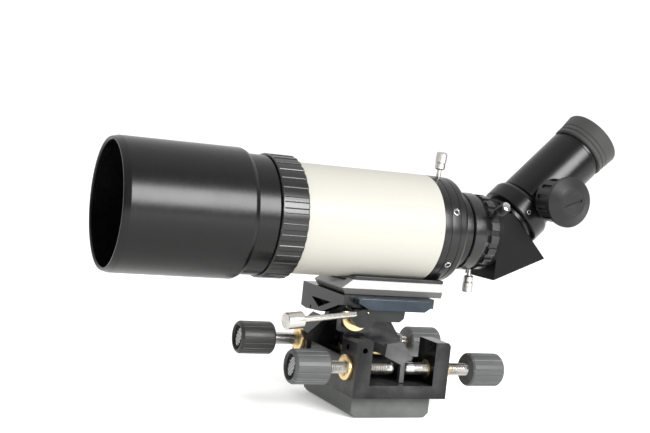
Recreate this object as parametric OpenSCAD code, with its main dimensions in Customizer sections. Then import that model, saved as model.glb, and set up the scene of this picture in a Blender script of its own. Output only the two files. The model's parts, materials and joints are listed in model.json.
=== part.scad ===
// Finder scope on a tilting and swinging mount: refractor tube, erecting diagonal, lit reticle eyepiece.
// Millimetres, +Z up. The objective looks toward -X and the eyepiece leans toward +X.
// Origin: the centre of the foot block's underside, on the swing axis.

/* [Tube] */
// Height of the optical axis above the foot
axis_height = 118.5; // [110:0.5:130]
// Front rim of the dew shield to the swing axis
rim_to_pivot = 184; // [170:1:200]
// Outer diameter of the white tube
tube_d = 70; // [66:0.5:74]
// Wall of the white tube
tube_wall = 1.8; // [1.2:0.1:3]
// Distance from the rim to the front end of the white tube
tube_front = 114.1; // [112:0.1:118]
// Distance from the rim to the rear end of the white tube
tube_rear = 209.9; // [200:0.1:215]

/* [Objective] */
// Outer diameter of the dew shield
shield_d = 80.8; // [76:0.2:84]
// Length of the dew shield
shield_length = 82; // [76:0.5:86]
// Clear diameter of the front lens
aperture_d = 61; // [58:0.5:63]
// Outer diameter of the ribbed focusing ring
focus_ring_d = 77.2; // [75:0.1:78.4]
// Number of ribs on the focusing ring
focus_ribs = 36; // [24:1:44]

/* [Rear end] */
// Outer diameter of the rear collars
collar_d = 51; // [48:0.5:53]
// Length of the small thumb screw heads
thumb_head = 11.5; // [9:0.5:14]
// Diameter of the small thumb screw heads
thumb_d = 7.2; // [6:0.2:9]

/* [Diagonal and eyepiece] */
// Crossing of the eyepiece axis with the optical axis, from the rim
eye_cross = 269.75; // [266:0.25:274]
// Rise of the eyepiece axis above the optical axis
eye_angle = 45; // [40:1:50]
// Width of the prism housing
housing_w = 36; // [32:1:40]
// Outer diameter of the eyepiece body
eye_d = 39.3; // [36:0.1:42]
// Distance along the eyepiece axis to the end of the metal body
eye_end = 84; // [78:1:90]
// Diameter of the battery cap
cap_d = 33.6; // [30:0.2:35]

/* [Mount] */
// Width of the foot block along the tube
foot_l = 56; // [50:1:60]
// Depth of the foot block across the tube
foot_w = 72; // [60:1:80]
// Width of the swing base along the tube
base_l = 66; // [62:1:70]
// Distance of the adjusting screws from the swing axis
screw_offset = 35; // [33:0.5:38]
// Height of the front adjusting screws
front_screw_z = 31.5; // [29:0.5:34]
// Height of the rear adjusting screws
rear_screw_z = 35.5; // [34:0.5:37]
// Diameter of the adjusting screws
screw_d = 8; // [7:0.5:9]
// Diameter of the fluted knobs
knob_d = 21.5; // [19:0.5:23]
// Length of the fluted knobs
knob_l = 24; // [18:0.5:26]

/* [Hidden] */
$fn = 96;
rim_x = -rim_to_pivot;
tube_r = tube_d / 2;
bore_r = tube_r - tube_wall;
shield_r = shield_d / 2;
ring_r = focus_ring_d / 2;
neck_r = 37.3;
collar_r = collar_d / 2;
clamp_s0 = 251.6;
clamp_s1 = 258.2;
house_s = 262;
thumb_a = 83.6;
cell_screw_s = 218.7;
clamp_screw_s = 253.6;
exit_t = 12.9;
collar_t0 = 16;
collar_t1 = 30;
eye_r = eye_d / 2;
barrel_r = 15.85;
ill_t = 38.7;
ill_face = 47.6;
dial_r = 14.6;
dial_end = 40.3;
base_top = 37;
base_bottom = 14.5;
tilt_x = -12;
tilt_z = 63.5;
lock_x = -28.8;
lock_z = 62.4;
saddle_z0 = 68.5;
saddle_t = 6.1;
rail_z0 = 67;
ledge_screw_x = [-13.5, 17];
ledge_screw_y = -23.6;
bush_r = 8;
front_left_tip = -1;
front_right_tip = 5.8;
rear_left_tip = -9.1;
rear_right_tip = -0.9;
screw_run = 47;
fit = 0.06;

// Optical axis frame: local Z runs back from the rim.
module on_axis(s = 0)
    translate([rim_x + s, 0, axis_height]) rotate([0, 90, 0]) children();

// Radial frame at an angle above the near side: local Z points outward.
module radial(s, a, r = 0)
    on_axis(s) rotate([0, 0, -90 - a]) translate([r, 0, 0]) rotate([0, 90, 0]) children();

// Eyepiece frame: local Z runs out along the eyepiece axis.
module on_eye(t = 0)
    translate([rim_x + eye_cross, 0, axis_height]) rotate([0, 90 - eye_angle, 0])
        translate([0, 0, t]) children();

// Lamp frame: local Z points to the near side, at right angles to the eyepiece.
module on_lamp(d = 0)
    on_eye(ill_t) rotate([90, 0, 0]) translate([0, 0, d]) children();

module tube_ring(h, ro, ri)
    difference() {
        cylinder(h = h, r = ro);
        translate([0, 0, -1]) cylinder(h = h + 2, r = ri);
    }

module turned(points)
    rotate_extrude() polygon(points);

// Plate with an outline in X and Z, between two depths.
module side_plate(y0, y1, outline)
    translate([0, y1, 0]) rotate([90, 0, 0]) linear_extrude(height = y1 - y0) polygon(outline);

// Screw frame: local Z points along +X or -X from a point.
module along_x(x, y, z, way)
    translate([x, y, z]) rotate([0, 90 * way, 0]) children();

module dew_shield()
    color([0.06, 0.06, 0.07]) on_axis()
        turned([[37.4, 0.9], [38.2, 0], [shield_r - 1.5, 0], [shield_r - 0.9, 0.7], [shield_r, 4.2],
            [shield_r, shield_length - 3.2], [shield_r - 0.9, shield_length - 1],
            [shield_r - 2.6, shield_length], [neck_r + 0.05, shield_length],
            [neck_r + 0.05, shield_length - 26], [37.9, shield_length - 26.5], [37.9, 3.4], [37.4, 3]]);

module objective_cell()
    color([0.07, 0.07, 0.08]) on_axis()
        turned([[aperture_d / 2, 70], [32.4, 70], [32.4, 56], [neck_r, 56], [neck_r, 95.2],
            [31.4, 95.2], [31.4, 112], [29.8, 112], [29.8, 93], [aperture_d / 2, 80]]);

module cell_ring()
    color([0.05, 0.05, 0.06]) on_axis(57.2) tube_ring(2.8, 32.3, aperture_d / 2);

module crown_lens()
    color([0.75, 0.85, 0.9, 0.4]) on_axis()
        intersection() {
            translate([0, 0, 55]) cylinder(h = 14, r = 32.2);
            translate([0, 0, 207]) sphere(r = 150, $fn = 300);
            translate([0, 0, -80.2]) sphere(r = 146.2, $fn = 300);
        }

module lens_spacer()
    color([0.1, 0.1, 0.1]) on_axis(62.72) tube_ring(0.66, 32.3, 31.3);

module flint_lens()
    color([0.75, 0.85, 0.9, 0.4]) on_axis()
        difference() {
            translate([0, 0, 60]) cylinder(h = 9.9, r = 32.2);
            translate([0, 0, -80.2]) sphere(r = 147.2, $fn = 300);
        }

module focus_ring()
    color([0.05, 0.05, 0.06]) on_axis(96.2)
        difference() {
            turned([[35.62, 0], [ring_r - 0.5, 0], [ring_r - 0.2, 0.4], [ring_r - 0.2, 2.4], [ring_r, 2.6],
                [ring_r, 17], [ring_r - 0.5, 17.6], [35.62, 17.6]]);
            for (k = [0 : focus_ribs - 1])
                rotate([0, 0, k * 360 / focus_ribs]) translate([ring_r - 0.45, -1.55, 3.2])
                    cube([2, 3.1, 15]);
        }

module front_sleeve()
    color([0.08, 0.08, 0.09]) on_axis()
        turned([[31.47, 98], [35.55, 98], [35.55, 113.9], [bore_r, 113.9], [bore_r, 128], [31.47, 128]]);

module main_tube()
    color([0.88, 0.87, 0.82]) on_axis(tube_front)
        tube_ring(tube_rear - tube_front, tube_r, bore_r);

module tube_baffles()
    color([0.04, 0.04, 0.04])
        for (k = [0 : 2])
            on_axis(140 + 22 * k) turned([[26 - 2.4 * k, 0], [bore_r, 0], [bore_r, 4],
                [bore_r - 1, 4], [bore_r - 1, 1], [26 - 2.4 * k, 1]]);

module rear_cell()
    color([0.06, 0.06, 0.07])
        difference() {
            on_axis() turned([[22, 222.5], [30.5, 222.5], [30.5, 200], [bore_r, 200], [bore_r, tube_rear],
                [tube_r, tube_rear], [tube_r, 214.8], [tube_r - 0.3, 215], [tube_r - 0.3, 215.3],
                [tube_r - 0.05, 215.5], [tube_r - 0.1, 221.4], [tube_r - 0.5, 221.6],
                [tube_r - 0.5, 222], [tube_r - 0.2, 222.2], [tube_r - 0.3, 226],
                [tube_r - 1, 227.5], [22, 227.5]]);
            for (k = [1 : 5])
                radial(cell_screw_s, thumb_a - 60 * k, 29) cylinder(h = 8, r = 2.35);
            radial(cell_screw_s, thumb_a, 29) cylinder(h = 8, r = 1.6);
        }

module rear_cell_screws()
    color([0.8, 0.8, 0.82])
        for (k = [1 : 5])
            radial(cell_screw_s, thumb_a - 60 * k, 30.6)
                difference() {
                    cylinder(h = 4, r = 2.3);
                    translate([0, 0, 2.6]) cylinder(h = 2, r = 1.15, $fn = 6);
                }

module thumb_screw(stem, reach)
    {
        cylinder(h = stem + reach + 1, r = 1.5);
        translate([0, 0, stem + reach])
            turned([[0, 0], [2.6, 0], [thumb_d / 2 - 0.2, 0.8], [thumb_d / 2 - 0.2, 4],
                [thumb_d / 2 - 0.5, 4.4],
                [thumb_d / 2, 4.9], [thumb_d / 2, thumb_head - 0.8], [thumb_d / 2 - 0.8, thumb_head],
                [0, thumb_head]]);
    }

module cell_thumb_screw()
    color([0.82, 0.82, 0.84]) radial(cell_screw_s, thumb_a, 30.8) thumb_screw(4.6, 4.5);

module rear_collar()
    color([0.07, 0.07, 0.08]) on_axis()
        turned([[18.5, 223], [21.9, 223], [21.9, 227.6], [collar_r - 0.6, 227.6], [collar_r, 228.2],
            [collar_r, 237.4], [collar_r - 0.5, 237.9], [22, 237.9], [22, 244], [18.5, 244]]);

module clamp_collar()
    color([0.08, 0.08, 0.09])
        difference() {
            on_axis() turned([[20.1, clamp_s0], [22.03, 250], [22.03, 238.5], [collar_r - 0.3, 238.5],
                [collar_r + 0.5, 239.2], [collar_r + 0.6, 246.8], [collar_r + 0.1, 247.6],
                [collar_r - 1.6, 251.4], [collar_r - 1.6, clamp_s0], [collar_r, clamp_s0 + 0.2],
                [collar_r, clamp_s1 - 0.6], [collar_r - 0.6, clamp_s1], [20.1, clamp_s1]]);
            for (k = [0 : 17])
                on_axis() rotate([0, 0, 20 * k + 6]) translate([collar_r - 1.3, -1.9, clamp_s0 - 0.4])
                    cube([3, 3.8, clamp_s1 - clamp_s0 + 2]);
            for (a = [30, -90, 150])
                radial(clamp_screw_s, a, 15) cylinder(h = 14, r = 1.6);
        }

module clamp_screw_side()
    color([0.3, 0.3, 0.32]) radial(clamp_screw_s, 30, 20.3) thumb_screw(4.8, 4.6);

module clamp_screw_low()
    color([0.6, 0.6, 0.62]) radial(clamp_screw_s, -90, 20.3) thumb_screw(4.8, 4.6);

module clamp_screw_far()
    color([0.6, 0.6, 0.62]) radial(clamp_screw_s, 150, 20.3) thumb_screw(4.8, 4.6);

module diagonal_spigot()
    color([0.08, 0.08, 0.09]) on_axis()
        turned([[15.5, 247], [20, 247], [20, 251.2], [19.2, 252.4], [19.2, 254.8], [20, 256],
            [20, house_s - 0.05], [15.5, house_s - 0.05]]);

// Outline of the prism housing in X and Z, grown or shrunk by a wall.
module housing_outline(inset)
    polygon([[house_s + inset, -30.2 + 1.45 * inset], [house_s + inset, 11 - inset / 2],
        [house_s + 3.5 + inset / 2, 15.5 - inset], [272.3, 15.7 - 1.3 * inset],
        [301.2 - 2.4 * inset, -13.2 + inset]]);

module prism_housing()
    color([0.06, 0.06, 0.06])
        difference() {
            union() {
                translate([rim_x, housing_w / 2 - 1.2, axis_height]) rotate([90, 0, 0])
                    linear_extrude(height = housing_w - 2.4) housing_outline(0);
                on_axis(258.6) tube_ring(house_s - 258.65, 24, 20.05);
                intersection() {
                    on_axis(258.6) tube_ring(house_s - 257.6, 24, 20.05);
                    translate([rim_x + 255, 1.3 - housing_w / 2, 0]) cube([10, housing_w - 2.6, 200]);
                }
            }
            translate([rim_x, housing_w / 2 - 1.1, axis_height]) rotate([90, 0, 0])
                linear_extrude(height = housing_w - 2.2) housing_outline(2.2);
            on_axis(house_s - 1) cylinder(h = 6, r = 15);
            on_eye(exit_t - 6) cylinder(h = 8, r = 14.5);
        }

module housing_covers()
    color([0.06, 0.06, 0.06])
        for (side = [-1, 1])
            translate([rim_x, side * (housing_w / 2 - 0.6) + 0.6, axis_height]) rotate([90, 0, 0])
                linear_extrude(height = 1.2) housing_outline(0);

module roof_prism()
    color([0.8, 0.9, 0.92, 0.5]) translate([rim_x, 15, axis_height]) rotate([90, 0, 0])
        linear_extrude(height = 30)
            polygon([[house_s + 3, -22.8], [house_s + 3, 10.5], [270, 11.4], [290.6, -10.4]]);

module eyepiece_socket()
    color([0.07, 0.07, 0.08]) on_eye()
        turned([[14.6, exit_t + 0.05], [19, exit_t + 0.05], [19, collar_t0 - 0.1], [17.6, collar_t0 - 0.1],
            [17.6, collar_t1 - 1.6], [15.92, collar_t1 - 1.6], [15.92, exit_t + 1.2],
                [14.6, exit_t + 1.2]]);

module locking_collar()
    color([0.08, 0.08, 0.09]) on_eye()
        turned([[17.68, collar_t0], [21.6, collar_t0], [22.4, collar_t0 + 0.8], [22.4, collar_t1 - 3.4],
            [21.4, collar_t1 - 1.2], [19.9, collar_t1 - 0.2], [17.68, collar_t1 - 0.2]]);

module eyepiece_barrel()
    color([0.7, 0.7, 0.72]) on_eye(exit_t + 2) tube_ring(17, barrel_r, 14.6);

module eyepiece_body()
    color([0.05, 0.05, 0.06])
        difference() {
            on_eye() turned([[barrel_r + 0.02, collar_t1 + 0.3], [eye_r - 0.8, collar_t1 + 0.3],
                [eye_r, collar_t1 + 1.2],
                [eye_r, eye_end - 0.6], [eye_r - 0.6, eye_end], [eye_r - 1.6, eye_end],
                [eye_r - 1.6, eye_end + 12], [13, eye_end + 12], [13, 60], [14.55, 58],
                [14.55, exit_t + 19.2], [barrel_r + 0.02, exit_t + 19.2]]);
            on_lamp(10) cylinder(h = 12, r = 6.03);
        }

module field_lens()
    color([0.75, 0.85, 0.9, 0.4]) on_eye(48)
        intersection() {
            cylinder(h = 6, r = 14.5);
            translate([0, 0, -38]) sphere(r = 44, $fn = 300);
        }

module reticle()
    color([0.8, 0.85, 0.9, 0.4]) on_eye(ill_t + 1.4) cylinder(h = 1.6, r = 14.5);

module eye_lens()
    color([0.75, 0.85, 0.9, 0.4]) on_eye(86)
        intersection() {
            cylinder(h = 8, r = 12.95);
            translate([0, 0, -40.5]) sphere(r = 48, $fn = 300);
        }

module eyecup()
    color([0.05, 0.05, 0.05]) on_eye()
        turned([[eye_r - 1.55, eye_end + 2.6], [eye_r - 0.1, eye_end + 2.6], [eye_r + 0.5, eye_end + 3.4],
            [eye_r + 0.5, eye_end + 5.2], [eye_r, eye_end + 6], [eye_r + 0.5, eye_end + 6.8],
            [eye_r + 0.5, eye_end + 8.4], [eye_r + 0.1, eye_end + 9.2], [20.6, eye_end + 14],
            [20.9, eye_end + 18], [20.4, eye_end + 19.1], [19.6, eye_end + 18.8], [18.8, eye_end + 16.5],
            [17, eye_end + 13.6], [13.4, eye_end + 13.2], [13.4, eye_end + 12.1],
            [eye_r - 1.55, eye_end + 12.1]]);

module lamp_stub()
    color([0.06, 0.06, 0.07]) on_lamp()
        turned([[3, 14.8], [6, 14.8], [6, 20.2], [8.6, 20.2], [8.6, 24], [9, 24], [9, 44.7], [6.4, 44.7],
            [6.4, 35], [3, 35]]);

module lamp()
    color([0.8, 0.25, 0.2, 0.7]) on_lamp(17.6)
        union() {
            cylinder(h = 7, r = 2.5);
            sphere(r = 2.5);
        }

module dimmer_dial()
    color([0.06, 0.06, 0.07])
        difference() {
            on_lamp() turned([[9.08, 24.2], [13.4, 24.2], [dial_r, 25.4], [dial_r, dial_end],
                [9.08, dial_end]]);
            for (k = [0 : 11])
                on_lamp() rotate([0, 0, 30 * k + 8]) translate([dial_r - 1.3, -1.5, 27])
                    cube([3, 3, dial_end - 26]);
        }

module battery_cap()
    color([0.06, 0.06, 0.07])
        difference() {
            on_lamp() turned([[0, 41], [6, 41], [6, 45.2], [9.08, 45.2], [9.08, dial_end + 0.3],
                [cap_d / 2, dial_end + 0.3], [cap_d / 2, dial_end + 2.8], [9.4, ill_face - 0.4],
                [8.6, ill_face - 0.4], [8.4, ill_face], [0, ill_face]]);
            intersection() {
                on_lamp(ill_face - 1.2) rotate([0, 0, 65]) translate([0, -46, 0]) tube_ring(3, 46.9, 45.1);
                on_lamp(ill_face - 2) cylinder(h = 5, r = 7);
            }
        }

module battery()
    color([0.75, 0.75, 0.76])
        for (d = [35.2, 38])
            on_lamp(d) cylinder(h = 2.6, r = 6.2);

module tube_shoe()
    color([0.2, 0.2, 0.21])
        difference() {
            translate([-26.5, 0, axis_height]) rotate([90, 0, 90]) linear_extrude(height = 64.5)
                polygon([[-20, -34.4], [-20, -32.2], [20, -32.2], [20, -34.4], [12, -34.4], [12, -36.4],
                    [-12, -36.4], [-12, -34.4]]);
            on_axis() cylinder(h = 260, r = tube_r + 0.04);
        }

module dovetail_bar()
    color([0.85, 0.85, 0.86])
        intersection() {
            translate([-40, 0, 0]) rotate([90, 0, 90]) linear_extrude(height = 78)
                polygon([[-19.8, axis_height - 34.4], [-21, axis_height - 39.8], [-20.2, axis_height - 43.8],
                    [20.2, axis_height - 43.8], [21, axis_height - 39.8], [19.8, axis_height - 34.4],
                    [12, axis_height - 34.4], [12, axis_height - 36.4], [-12, axis_height - 36.4],
                    [-12, axis_height - 34.4]]);
            side_plate(-30, 30, [[-27.5, axis_height - 34.4], [-35.6, axis_height - 39.8],
                [-32.8, axis_height - 43.8], [37.6, axis_height - 43.8], [38, axis_height - 34.4]]);
        }

module saddle_bracket()
    color([0.24, 0.25, 0.27])
        difference() {
            union() {
                translate([-31, -26, saddle_z0]) cube([60, 58, saddle_t]);
                side_plate(-30, -24.6, [[-33, rail_z0 - 0.1], [-36, 64], [-34, 55.5], [-28, 52.4],
                    [-20, 52.4],
                    [-14, 59.6], [3, 59.6], [6, 62], [6.4, rail_z0 - 0.1]]);
                translate([-33, -26, 66]) cube([38, 1.4, 4]);
                side_plate(30.8, 36.4, [[-33, 74.6], [-36, 66], [-33, 57.6], [-4, 57], [0, saddle_z0],
                    [-2, 74.6]]);
                translate([-36, -26, 0]) rotate([90, 0, 90]) linear_extrude(height = 5)
                    polygon([[0, saddle_z0 + saddle_t], [0, saddle_z0], [6, 67.8], [30, 59.4], [54, 57.5],
                        [62.4, 58.5], [62.4, saddle_z0 + saddle_t]]);
                translate([-9, 31.5, 28]) cube([8, 6.6, 44]);
                translate([-9, 30.8, 60]) cube([8, 7.3, 14.6]);
            }
            translate([-37, -26, 0]) rotate([90, 0, 90]) linear_extrude(height = 7)
                polygon([[17, 67.6], [47, 66.8], [35, 61.6]]);
            translate([-37, 21, 59.8]) rotate([0, 90, 0]) cylinder(h = 7, r = 1.1);
            translate([tilt_x, -28.6, tilt_z]) rotate([-90, 0, 0]) cylinder(h = 6, r = 3.06);
            translate([tilt_x, 29, tilt_z]) rotate([-90, 0, 0]) cylinder(h = 9, r = 3.06);
            translate([lock_x, -31, lock_z]) rotate([-90, 0, 0]) cylinder(h = 8, r = 5);
            for (x = ledge_screw_x)
                translate([x, ledge_screw_y, saddle_z0 - 1]) cylinder(h = 8, r = 1.5);
        }

module saddle_rail()
    color([0.33, 0.38, 0.44])
        side_plate(-34, -26.05, [[-29, 73.4], [-27, 74.4], [22, 74.4], [24, 72.8], [24, 70.6],
            [18.5, rail_z0],
            [-20.5, rail_z0], [-29, 70.8]]);

module ledge_screws()
    color([0.3, 0.3, 0.31])
        for (x = ledge_screw_x)
            translate([x, ledge_screw_y, saddle_z0])
                difference() {
                    cylinder(h = saddle_t - 0.5, r = 1.45);
                    translate([0, 0, saddle_t - 2.4]) cylinder(h = 3, r = 0.85, $fn = 6);
                }

module tilt_pins()
    color([0.7, 0.7, 0.72])
        {
            translate([tilt_x, -28.5, tilt_z]) rotate([-90, 0, 0]) cylinder(h = 10.3, r = 3);
            translate([tilt_x, 24.6, tilt_z]) rotate([-90, 0, 0]) cylinder(h = 11.4, r = 3);
        }

module lock_washer()
    color([0.78, 0.68, 0.45])
        intersection() {
            translate([lock_x, -30.2, lock_z]) rotate([90, 0, 0]) tube_ring(1.8, 9, 3.1);
            translate([lock_x - 10, -33, lock_z - 10]) cube([20, 4, 13.2]);
        }

// Lever frame: local Z runs out along the lever from the lock's axis.
module on_lever()
    translate([lock_x, -37.2, lock_z + 2.9]) rotate([0, -95, 9]) children();

module lock_hub()
    color([0.12, 0.12, 0.13])
        difference() {
            translate([lock_x, 0, lock_z]) rotate([90, 0, 0])
                {
                    translate([0, 0, 33.2]) cylinder(h = 6.6, r = 5.5);
                    translate([0, 0, 32.1]) cylinder(h = 1.2, r = 4.6);
                    translate([0, 0, 18.4]) cylinder(h = 14, r = 3);
                }
            on_lever() translate([0, 0, -2]) cylinder(h = 12, r = 1.97);
        }

module lock_lever()
    color([0.82, 0.82, 0.84])
        on_lever()
            {
                translate([0, 0, -1.9]) cylinder(h = 46.9, r = 1.95);
                translate([0, 0, 43])
                    turned([[0, 0], [4.6, 0], [5.1, 0.5], [5.1, 11], [4.6, 11.5], [0, 11.5]]);
            }

module azimuth_yoke()
    color([0.2, 0.2, 0.21])
        difference() {
            union() {
                translate([0, 0, base_top + 1.5]) cylinder(h = 9.5, r = 20);
                translate([-14, -24, 45.5]) cube([22, 48.2, 5]);
                translate([-14, 8, base_top + 1.5]) cube([28, 16.4, 9.5]);
                side_plate(-24, -18, [[-14, 46], [-14, 51.6], [-35, 51.6], [-35, 60], [-31, 65.6],
                    [-22, 67.2],
                    [-5.6, 67.2], [8.4, 47.6], [8.4, 46]]);
                side_plate(24, 30, [[-34.5, 20], [-34.5, 41.6], [-21, 53.6], [-18, 65], [-15, 67.2],
                    [-6, 67.2],
                    [22, 46], [30, 44], [33, 41], [33, 20]]);
                side_plate(29.9, 46, [[-34.5, 20], [-34.5, 41.6], [-22, 52.7], [-22, 26], [22, 26],
                    [22, 46],
                    [30, 44], [33, 41], [33, 20]]);
            }
            translate([0, 0, base_top]) cylinder(h = 20, r = 5.06);
            for (way = [-1, 1])
                along_x(way * 20, screw_offset, rear_screw_z, way) cylinder(h = 20, r = 6);
            translate([tilt_x, -30, tilt_z]) rotate([-90, 0, 0]) cylinder(h = 70, r = 3);
            translate([lock_x, -30, lock_z]) rotate([-90, 0, 0]) cylinder(h = 14, r = 3.06);
        }

module azimuth_tongue()
    color([0.26, 0.26, 0.27])
        union() {
            side_plate(-38.5, -35.5, [[-8.6, 47.2], [2, 48.8], [10.6, 39], [9.8, 37], [5.7, 36], [5.7, 23],
                [2.5, 23], [2.5, 34.4], [-9.4, 39.4]]);
            translate([-8.4, -35.6, 39.4]) cube([14, 15.5, 6.1]);
        }

module bush(length)
    difference() {
        union() {
            translate([0, 0, length]) cylinder(h = 2.8, r = bush_r);
            cylinder(h = length + 0.1, r = 5.97);
        }
        translate([0, 0, -1]) cylinder(h = length + 6, r = screw_d / 2 + fit);
    }

module rear_bushes()
    color([0.78, 0.68, 0.45])
        for (way = [-1, 1])
            along_x(way * 22.2, screw_offset, rear_screw_z, way) bush(way < 0 ? 12.4 : 10.9);

module swing_base()
    color([0.25, 0.25, 0.26])
        difference() {
            union() {
                translate([-33, -24.7, base_bottom]) cube([base_l, 44.7, base_top - base_bottom]);
                side_plate(-46, -24.6, [[-33, base_bottom], [-33, 48.4], [-31.6, 50.2], [-22.2, 50.2],
                    [-22.2, 22.6],
                    [22.4, 22.6], [22.4, 50.2], [31.4, 50.2], [33, 48.4], [33, base_bottom]]);
            }
            for (way = [-1, 1])
                along_x(way * 20, -screw_offset, front_screw_z, way) cylinder(h = 20, r = 6);
            translate([-19, -25, 22.6]) cube([38, 10, 20]);
            translate([0, 0, base_bottom - 1]) cylinder(h = 30, r = 4.98);
            translate([-27.5, -47, 44]) rotate([-90, 0, 0]) cylinder(h = 8, r = 1.7);
            translate([-34, -33, 44]) rotate([0, 90, 0]) cylinder(h = 6, r = 1.7);
        }

module thrust_ring()
    color([0.78, 0.68, 0.45]) translate([0, 0, base_top + 0.05]) tube_ring(1.3, 20.6, 6);

module swing_pin()
    color([0.7, 0.7, 0.72])
        difference() {
            union() {
                translate([0, 0, 4.5]) cylinder(h = 46.3, r = 4.96);
                translate([0, 0, 50.7]) cylinder(h = 4, r = 8);
            }
            translate([0, 0, 52]) cylinder(h = 4, r = 3.4, $fn = 6);
        }

module front_bushes()
    color([0.78, 0.68, 0.45])
        for (way = [-1, 1])
            along_x(way * 22.4, -screw_offset, front_screw_z, way) bush(10.7);

module foot_block()
    color([0.5, 0.52, 0.5])
        difference() {
            intersection() {
                translate([-foot_l / 2, -foot_w / 2, 0]) cube([foot_l, foot_w, base_bottom - 0.02]);
                side_plate(-50, 50, [[-foot_l / 2, 20], [-foot_l / 2, 3], [3 - foot_l / 2, 0],
                    [foot_l / 2 - 3, 0], [foot_l / 2, 3], [foot_l / 2, 20]]);
            }
            translate([0, 0, 4.4]) cylinder(h = 20, r = 4.98);
        }

// Adjusting screw with a domed thrust end, from the tip outward.
module adjusting_screw()
    {
        turned([[0, 0], [2, 0.25], [3.3, 1.2], [3.8, 2.6], [3.8, 6], [screw_d / 2, 6.4],
            [screw_d / 2, screw_run + 9], [0, screw_run + 9]]);
    }

module knob()
    difference() {
        translate([0, 0, screw_run])
            turned([[screw_d / 2 + 0.02, 0], [knob_d / 2 - 0.9, 0], [knob_d / 2 - 0.1, 0.9],
                [knob_d / 2, 1.4],
                [knob_d / 2, knob_l - 2.2], [knob_d / 2 - 1, knob_l - 0.4], [8.3, knob_l],
                [7.8, knob_l - 1.6], [0, knob_l - 1.6], [0, 9.2], [screw_d / 2 + 0.02, 9.2]]);
        for (k = [0 : 17])
            rotate([0, 0, 20 * k]) translate([knob_d / 2 + 0.4, 0, screw_run - 1])
                cylinder(h = knob_l + 3, r = 0.8, $fn = 24);
    }

module front_left_screw()
    color([0.75, 0.75, 0.76]) along_x(front_left_tip, -screw_offset, front_screw_z, -1) adjusting_screw();

module front_left_knob()
    color([0.3, 0.31, 0.31]) along_x(front_left_tip, -screw_offset, front_screw_z, -1) knob();

module front_right_screw()
    color([0.75, 0.75, 0.76]) along_x(front_right_tip, -screw_offset, front_screw_z, 1) adjusting_screw();

module front_right_knob()
    color([0.3, 0.31, 0.31]) along_x(front_right_tip, -screw_offset, front_screw_z, 1) knob();

module rear_left_screw()
    color([0.75, 0.75, 0.76]) along_x(rear_left_tip, screw_offset, rear_screw_z, -1) adjusting_screw();

module rear_left_knob()
    color([0.3, 0.31, 0.31]) along_x(rear_left_tip, screw_offset, rear_screw_z, -1) knob();

module rear_right_screw()
    color([0.75, 0.75, 0.76]) along_x(rear_right_tip, screw_offset, rear_screw_z, 1) adjusting_screw();

module rear_right_knob()
    color([0.3, 0.31, 0.31]) along_x(rear_right_tip, screw_offset, rear_screw_z, 1) knob();

dew_shield();
objective_cell();
cell_ring();
crown_lens();
lens_spacer();
flint_lens();
focus_ring();
front_sleeve();
main_tube();
tube_baffles();
rear_cell();
rear_cell_screws();
cell_thumb_screw();
rear_collar();
clamp_collar();
clamp_screw_side();
clamp_screw_low();
clamp_screw_far();
diagonal_spigot();
prism_housing();
housing_covers();
roof_prism();
eyepiece_socket();
locking_collar();
eyepiece_barrel();
eyepiece_body();
field_lens();
reticle();
eye_lens();
eyecup();
lamp_stub();
lamp();
dimmer_dial();
battery_cap();
battery();
tube_shoe();
dovetail_bar();
saddle_bracket();
saddle_rail();
ledge_screws();
tilt_pins();
lock_washer();
lock_hub();
lock_lever();
azimuth_yoke();
azimuth_tongue();
rear_bushes();
swing_base();
thrust_ring();
swing_pin();
front_bushes();
foot_block();
front_left_screw();
front_left_knob();
front_right_screw();
front_right_knob();
rear_left_screw();
rear_left_knob();
rear_right_screw();
rear_right_knob();
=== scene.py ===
"""Looks of the finder scope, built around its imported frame.

Lengths here are millimetres; MM turns them into metres.
"""
import json
import math

import bmesh
import bpy
from mathutils import Matrix, Vector

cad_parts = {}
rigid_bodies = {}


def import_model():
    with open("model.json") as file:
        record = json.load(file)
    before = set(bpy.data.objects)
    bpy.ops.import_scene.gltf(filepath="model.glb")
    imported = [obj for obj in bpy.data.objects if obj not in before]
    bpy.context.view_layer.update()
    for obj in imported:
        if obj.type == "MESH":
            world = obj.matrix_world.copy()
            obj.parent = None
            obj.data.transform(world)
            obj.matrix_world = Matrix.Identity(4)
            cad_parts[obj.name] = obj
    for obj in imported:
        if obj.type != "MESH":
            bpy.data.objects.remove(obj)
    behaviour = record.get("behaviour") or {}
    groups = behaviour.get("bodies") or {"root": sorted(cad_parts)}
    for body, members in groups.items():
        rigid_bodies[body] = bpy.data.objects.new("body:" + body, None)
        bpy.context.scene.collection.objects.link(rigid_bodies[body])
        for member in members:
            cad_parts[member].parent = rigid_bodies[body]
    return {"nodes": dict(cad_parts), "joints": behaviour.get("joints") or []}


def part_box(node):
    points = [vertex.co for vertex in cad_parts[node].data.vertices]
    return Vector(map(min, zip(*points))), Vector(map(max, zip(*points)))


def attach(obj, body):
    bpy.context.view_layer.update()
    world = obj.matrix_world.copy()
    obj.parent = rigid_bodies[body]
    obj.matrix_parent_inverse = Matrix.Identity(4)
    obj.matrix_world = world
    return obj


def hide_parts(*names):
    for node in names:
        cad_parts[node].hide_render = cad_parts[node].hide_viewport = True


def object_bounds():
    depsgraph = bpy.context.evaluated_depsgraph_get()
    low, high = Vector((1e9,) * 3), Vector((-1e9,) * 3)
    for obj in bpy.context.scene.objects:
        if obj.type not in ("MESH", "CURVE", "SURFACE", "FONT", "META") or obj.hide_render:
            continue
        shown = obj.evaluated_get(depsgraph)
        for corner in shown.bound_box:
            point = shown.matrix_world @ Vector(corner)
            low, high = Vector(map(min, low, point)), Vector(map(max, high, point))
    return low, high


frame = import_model()
cad_low, cad_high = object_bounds()
MM = 0.001
JOINTS = {joint["name"]: joint for joint in frame["joints"]}


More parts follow.
